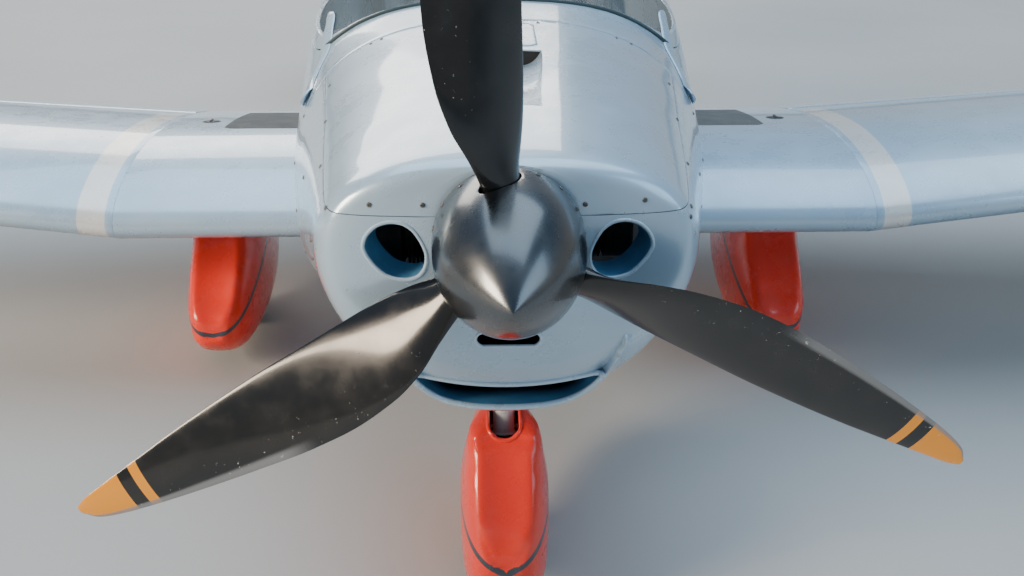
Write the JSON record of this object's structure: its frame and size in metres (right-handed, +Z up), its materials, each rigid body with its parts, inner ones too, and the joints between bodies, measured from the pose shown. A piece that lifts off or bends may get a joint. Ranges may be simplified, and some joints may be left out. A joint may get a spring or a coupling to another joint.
{
  "type": "two-seat light aircraft",
  "caption": "Low-wing light aircraft on fixed tricycle gear with wheel fairings, a tractor propeller, a tilting canopy, hinged control surfaces and a steered nose wheel.",
  "frame": {"origin": "middle of the box over the whole aircraft, at the floor it stands on", "axes": "+X towards the aircraft's left wing tip, +Y towards its tail, +Z up"},
  "size_m": [9, 6.415, 1.96],
  "materials": {
    "paint": "gloss",
    "glazing": "clear",
    "black": "gloss",
    "fairing": "gloss",
    "metal": "satin",
    "tyre": "matt",
    "trim": "matt",
    "seat": "woven"
  },
  "bodies": {
    "airframe": {"cabin_floor": "trim", "centre_console": "trim", "control_stick_left": "trim", "control_stick_right": "trim", "engine_block": "metal", "exhaust_pipe": "metal", "fin": "paint", "fuselage": "paint", "glareshield": "trim", "instrument_panel": "trim", "lower_cowl": "paint", "main_fairing_left": "fairing", "main_fairing_right": "fairing", "main_leg_left": "metal", "main_leg_right": "metal", "nose_leg_mount": "trim", "pitot_tube": "metal", "radiator": "trim", "rear_bulkhead": "trim", "seat_back_left": "seat", "seat_back_right": "seat", "seat_left": "seat", "seat_right": "seat", "stabilizer_left": "paint", "stabilizer_right": "paint", "upper_cowl": "paint", "wing_panel_left": "paint", "wing_panel_right": "paint", "wing_root_left": "paint", "wing_root_right": "paint", "wing_tip_left": "paint", "wing_tip_right": "paint"},
    "propeller": {"spinner": "black", "spinner_plate": "black", "propeller_hub": "metal", "blade_1": "black", "blade_2": "black", "blade_3": "black"},
    "nose_gear": {"nose_leg": "metal", "nose_fairing": "fairing"},
    "nose_wheel": {"nose_tyre": "tyre", "nose_rim": "metal"},
    "main_wheel_left": {"main_left_tyre": "tyre", "main_left_rim": "metal"},
    "main_wheel_right": {"main_right_tyre": "tyre", "main_right_rim": "metal"},
    "canopy": {"canopy_frame": "paint", "canopy_glass": "glazing", "canopy_arm_left": "paint", "canopy_arm_right": "paint"},
    "flap_left": {"flap_left": "paint"},
    "flap_right": {"flap_right": "paint"},
    "aileron_left": {"aileron_left": "paint"},
    "aileron_right": {"aileron_right": "paint"},
    "elevator": {"elevator_left": "paint", "elevator_right": "paint"},
    "rudder": {"rudder": "paint"}
  },
  "joints": [
    {"name": "propeller_spin", "type": "hinge", "parent": "airframe", "child": "propeller", "pos_m": [0, -2.9925, 1.05], "axis": [0, 1, 0], "continuous": true},
    {"name": "nose_steering", "type": "hinge", "parent": "airframe", "child": "nose_gear", "pos_m": [0, -2.4645, 0.362], "axis": [0, 0.2419, 0.9703], "range_deg": [-20, 20]},
    {"name": "nose_wheel_spin", "type": "hinge", "parent": "nose_gear", "child": "nose_wheel", "pos_m": [0, -2.3925, 0.16], "axis": [1, 0, 0], "continuous": true},
    {"name": "main_wheel_left_spin", "type": "hinge", "parent": "airframe", "child": "main_wheel_left", "pos_m": [0.885, -1.0425, 0.175], "axis": [1, 0, 0], "continuous": true},
    {"name": "main_wheel_right_spin", "type": "hinge", "parent": "airframe", "child": "main_wheel_right", "pos_m": [-0.885, -1.0425, 0.175], "axis": [1, 0, 0], "continuous": true},
    {"name": "canopy_hinge", "type": "hinge", "parent": "airframe", "child": "canopy", "pos_m": [0, -1.9425, 1.02], "axis": [1, 0, 0], "range_deg": [0, 55]},
    {"name": "flap_left_hinge", "type": "hinge", "parent": "airframe", "child": "flap_left", "pos_m": [1.87, -0.60283, 0.63189], "axis": [-0.9929, 0.0693, -0.0965], "range_deg": [0, 35]},
    {"name": "flap_right_hinge", "type": "hinge", "parent": "airframe", "child": "flap_right", "pos_m": [-1.87, -0.60283, 0.63189], "axis": [-0.9929, -0.0693, 0.0965], "range_deg": [0, 35]},
    {"name": "aileron_left_hinge", "type": "hinge", "parent": "airframe", "child": "aileron_left", "pos_m": [3.45, -0.71303, 0.78543], "axis": [-0.9929, 0.0693, -0.0965], "range_deg": [-20, 20]},
    {"name": "aileron_right_hinge", "type": "hinge", "parent": "airframe", "child": "aileron_right", "pos_m": [-3.45, -0.71303, 0.78543], "axis": [-0.9929, -0.0693, 0.0965], "range_deg": [-20, 20]},
    {"name": "elevator_hinge", "type": "hinge", "parent": "airframe", "child": "elevator", "pos_m": [0, 2.5463, 1.075], "axis": [-1, 0, 0], "range_deg": [-25, 20]},
    {"name": "rudder_hinge", "type": "hinge", "parent": "airframe", "child": "rudder", "pos_m": [0, 2.8524, 0.99], "axis": [0, 0.1205, 0.9927], "range_deg": [-25, 25]}
  ],
  "couplings": [
    {"joint": "flap_right_hinge", "follows": "flap_left_hinge", "ratio": 1},
    {"joint": "aileron_right_hinge", "follows": "aileron_left_hinge", "ratio": -1},
    {"joint": "nose_steering", "follows": "rudder_hinge", "ratio": -0.8}
  ]
}
